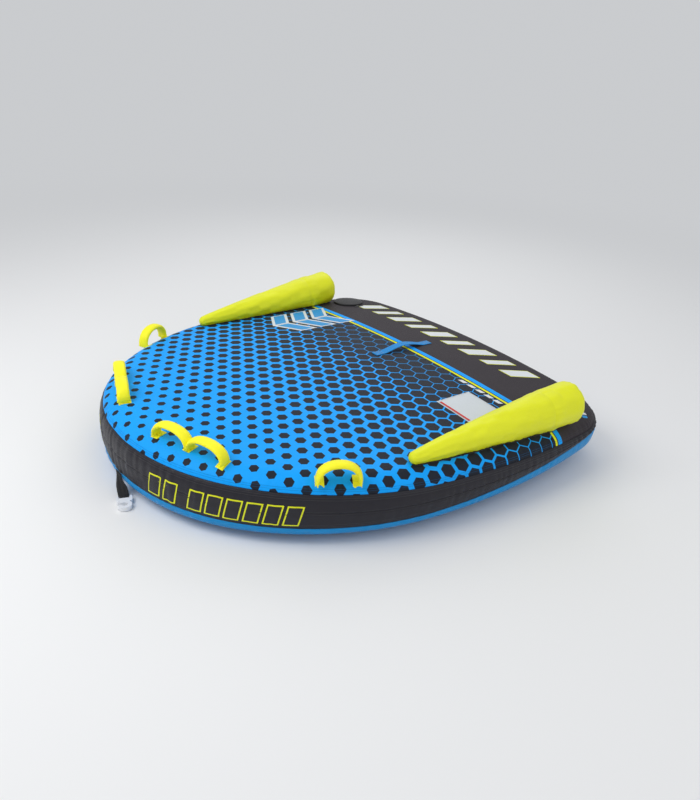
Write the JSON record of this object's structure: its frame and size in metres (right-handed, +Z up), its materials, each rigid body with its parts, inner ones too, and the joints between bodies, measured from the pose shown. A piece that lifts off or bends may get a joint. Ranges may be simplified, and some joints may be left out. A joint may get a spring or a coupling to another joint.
{
  "type": "towable tube",
  "caption": "Inflatable towable deck tube with a printed fabric cover, side bolsters, padded grab handles, boarding strap, inflation valve and a short tow strap with a moulded hook.",
  "frame": {"origin": "on the flat of the underside that the tube rests on, on the centreline, halfway along the hull", "axes": "+Z up through the deck, +Y to the stern (boarding end), -Y to the tow end, +X to port"},
  "size_m": [1.9916, 2.1331, 0.431],
  "materials": {
    "deck_print": "coated polyester with a printed honeycomb",
    "stern_black": "coated polyester, matte",
    "band_black": "woven nylon, soft sheen",
    "underside_blue": "woven nylon, soft sheen",
    "bladder_vinyl": "satin",
    "bolster_yellow": "woven nylon, soft sheen",
    "handle_yellow": "woven nylon, soft sheen",
    "grip_foam": "matte",
    "black_webbing": "woven webbing",
    "blue_webbing": "woven webbing",
    "handle_tab": "woven webbing",
    "plain_patch": "smooth sewn panel",
    "hook_white": "satin",
    "valve_plastic": "satin",
    "spring_steel": "satin",
    "flap_black": "matte",
    "zipper_black": "satin",
    "zipper_metal": "satin"
  },
  "bodies": {
    "tube": {"bladder_baffles": "bladder_vinyl", "boarding_strap": "blue_webbing", "bottom_cover": "underside_blue", "deck_cover": "deck_print", "handle_anchors": "handle_tab", "main_bladder": "bladder_vinyl", "plain_patch": "plain_patch", "port_bolster_bladder": "bladder_vinyl", "port_bolster_cover": "bolster_yellow", "port_bolster_end": "bolster_yellow", "port_bolster_flange": "bolster_yellow", "port_bolster_valve": "valve_plastic", "side_band": "band_black", "starboard_bolster_bladder": "bladder_vinyl", "starboard_bolster_cover": "bolster_yellow", "starboard_bolster_end": "bolster_yellow", "starboard_bolster_flange": "bolster_yellow", "starboard_bolster_valve": "valve_plastic", "stern_panel": "stern_black", "tow_patch": "band_black", "tow_tab": "black_webbing", "valve_body": "valve_plastic", "valve_flange": "valve_plastic", "valve_flap_hinge": "flap_black", "valve_spring": "spring_steel", "zipper_chain": "zipper_black", "zipper_tape": "zipper_black"},
    "tow_strap": {"tow_strap": "black_webbing"},
    "tow_hook": {"tow_hook": "hook_white"},
    "valve_flap": {"valve_flap": "flap_black"},
    "valve_cap": {"valve_cap": "valve_plastic"},
    "valve_poppet": {"valve_poppet": "valve_plastic"},
    "zipper_slider": {"zipper_slider": "zipper_metal"},
    "zipper_pull": {"zipper_pull": "zipper_metal"},
    "port_bolster_valve_cap": {"port_bolster_valve_cap": "valve_plastic"},
    "port_front_handle": {"port_front_handle_inner_foam": "grip_foam", "port_front_handle_inner_sleeve": "handle_yellow", "port_front_handle_inner_webbing": "black_webbing", "port_front_handle_outer_foam": "grip_foam", "port_front_handle_outer_sleeve": "handle_yellow", "port_front_handle_outer_webbing": "black_webbing"},
    "port_side_handle": {"port_side_handle_foam": "grip_foam", "port_side_handle_sleeve": "handle_yellow", "port_side_handle_webbing": "black_webbing"},
    "starboard_bolster_valve_cap": {"starboard_bolster_valve_cap": "valve_plastic"},
    "starboard_front_handle": {"starboard_front_handle_inner_foam": "grip_foam", "starboard_front_handle_inner_sleeve": "handle_yellow", "starboard_front_handle_inner_webbing": "black_webbing", "starboard_front_handle_outer_foam": "grip_foam", "starboard_front_handle_outer_sleeve": "handle_yellow", "starboard_front_handle_outer_webbing": "black_webbing"},
    "starboard_side_handle": {"starboard_side_handle_foam": "grip_foam", "starboard_side_handle_sleeve": "handle_yellow", "starboard_side_handle_webbing": "black_webbing"}
  },
  "joints": [
    {"name": "port_front_handle_tip", "type": "hinge", "parent": "tube", "child": "port_front_handle", "pos_m": [0.31986, -0.86568, 0.31006], "axis": [0.9426, 0.3325, -0.0309], "range_deg": [-28, 28], "stiffness_Nm_per_rad": 0.6},
    {"name": "port_side_handle_tip", "type": "hinge", "parent": "tube", "child": "port_side_handle", "pos_m": [0.78279, -0.50679, 0.27855], "axis": [0.4868, 0.8734, -0.0125], "range_deg": [-20, 20], "stiffness_Nm_per_rad": 0.6},
    {"name": "starboard_front_handle_tip", "type": "hinge", "parent": "tube", "child": "starboard_front_handle", "pos_m": [-0.31986, -0.86568, 0.31006], "axis": [-0.9426, 0.3325, -0.0309], "range_deg": [-28, 28], "stiffness_Nm_per_rad": 0.6},
    {"name": "starboard_side_handle_tip", "type": "hinge", "parent": "tube", "child": "starboard_side_handle", "pos_m": [-0.78279, -0.50679, 0.27855], "axis": [-0.4868, 0.8734, -0.0125], "range_deg": [-20, 20], "stiffness_Nm_per_rad": 0.6},
    {"name": "tow_strap_lift", "type": "hinge", "parent": "tube", "child": "tow_strap", "pos_m": [0, -1.032, 0.082], "axis": [-1, 0, 0], "range_deg": [0, 100]},
    {"name": "tow_hook_swing", "type": "hinge", "parent": "tow_strap", "child": "tow_hook", "pos_m": [0.095, -1.052, 0.011], "axis": [0.342, 0.9397, 0], "range_deg": [-60, 115]},
    {"name": "valve_flap_open", "type": "hinge", "parent": "tube", "child": "valve_flap", "pos_m": [-0.70461, 0.76249, 0.2672], "axis": [0, 0.999, -0.0449], "range_deg": [0, 150]},
    {"name": "valve_cap_turn", "type": "hinge", "parent": "tube", "child": "valve_cap", "pos_m": [-0.79267, 0.76236, 0.26425], "axis": [-0.0834, 0.0447, 0.9955], "range_deg": [0, 90]},
    {"name": "valve_poppet_push", "type": "slide", "parent": "tube", "child": "valve_poppet", "axis": [0.0834, -0.0447, -0.9955], "range_m": [0, 0.004], "stiffness_N_per_m": 250, "springref_m": -0.002, "deforming": ["valve_spring"]},
    {"name": "port_bolster_plug_pull", "type": "slide", "parent": "tube", "child": "port_bolster_valve_cap", "axis": [0.073, 0.9961, 0.049], "range_m": [0, 0.014]},
    {"name": "starboard_bolster_plug_pull", "type": "slide", "parent": "tube", "child": "starboard_bolster_valve_cap", "axis": [-0.073, 0.9961, 0.049], "range_m": [0, 0.014]},
    {"name": "zipper_run", "type": "slide", "parent": "tube", "child": "zipper_slider", "axis": [-1, 0, 0], "range_m": [0, 0.37]},
    {"name": "zipper_pull_flip", "type": "hinge", "parent": "zipper_slider", "child": "zipper_pull", "pos_m": [0.183, 1.0326, 0.15], "axis": [1, 0, 0], "range_deg": [0, 160]}
  ]
}
